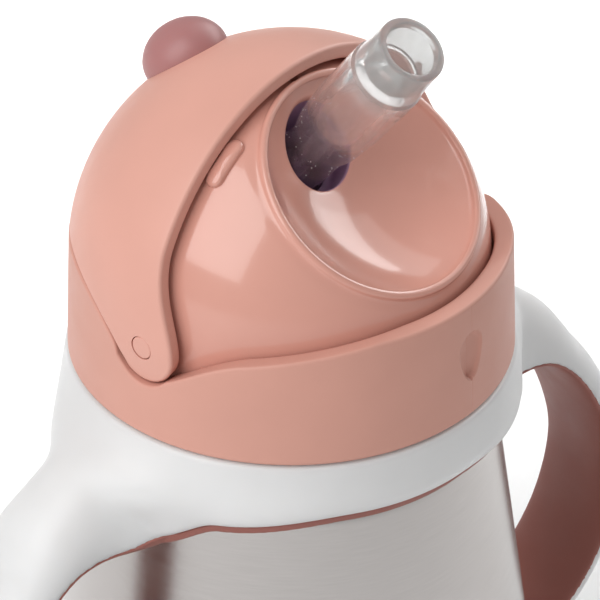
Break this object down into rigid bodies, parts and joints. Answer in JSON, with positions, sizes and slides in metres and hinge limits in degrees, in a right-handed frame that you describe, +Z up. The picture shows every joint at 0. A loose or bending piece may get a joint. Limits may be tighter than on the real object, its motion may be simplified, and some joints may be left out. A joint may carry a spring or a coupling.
{
  "type": "straw cup",
  "caption": "Insulated steel toddler cup with a two-handled collar and a screw lid whose swinging hood folds a soft clear spout.",
  "frame": {"origin": "middle of the underside, where the foot pad rests", "axes": "+Z up; -Y is the front, where the spout leans; X is the hood's pivot axis, with the handles turned 13 degrees from it"},
  "size_m": [0.1454, 0.0898, 0.1662],
  "materials": {
    "steel": "horizontally brushed",
    "steel_inside": "satin electropolished",
    "steel_base": "satin",
    "seal_metal": "dull",
    "getter_metal": "sintered",
    "pad_silicone": "matte silicone",
    "white_plastic": "satin",
    "pink_grip": "soft matte elastomer",
    "pink_matte": "fine matte texture",
    "pink_gloss": "polished",
    "pink_pin": "satin",
    "pink_hood": "fine matte texture",
    "mauve_knob": "satin, slightly translucent",
    "clear_silicone": "clear soft silicone",
    "inner_plastic": "as moulded",
    "straw_silicone": "milky silicone",
    "seal_silicone": "matte silicone"
  },
  "bodies": {
    "cup": {"outer_shell": "steel", "inner_liner": "steel_inside", "base_disc": "steel_base", "vacuum_seal": "seal_metal", "getter_pill": "getter_metal", "foot_pad": "pad_silicone"},
    "handles": {"handle_frame": "white_plastic", "grip_liner": "pink_grip"},
    "lid": {"lid_ring": "pink_matte", "lid_dome": "pink_gloss", "pivot_pin_left": "pink_pin", "pivot_pin_right": "pink_pin", "spout_retainer": "inner_plastic", "straw_adapter": "straw_silicone", "straw_tube": "straw_silicone", "lid_seal": "seal_silicone", "vent_valve": "seal_silicone"},
    "hood": {"hood": "pink_hood", "hood_knob": "mauve_knob"},
    "spout": {"spout": "clear_silicone"}
  },
  "joints": [
    {"name": "lid_lift", "type": "slide", "parent": "cup", "child": "lid", "axis": [0, 0, 1], "range_m": [0, 0.105]},
    {"name": "collar_lift", "type": "slide", "parent": "cup", "child": "handles", "axis": [0, 0, 1], "range_m": [0, 0.042]},
    {"name": "hood_swing", "type": "hinge", "parent": "lid", "child": "hood", "pos_m": [0, 0, 0.1146], "axis": [1, 0, 0], "range_deg": [0, 78], "deforming": ["spout"]},
    {"name": "spout_fold", "type": "hinge", "parent": "lid", "child": "spout", "pos_m": [0, -0.0072, 0.1397], "axis": [1, 0, 0], "range_deg": [0, 94], "deforming": ["spout"]}
  ],
  "couplings": [
    {"joint": "collar_lift", "follows": "lid_lift", "ratio": 0.4},
    {"joint": "spout_fold", "follows": "hood_swing", "ratio": 1.2}
  ]
}
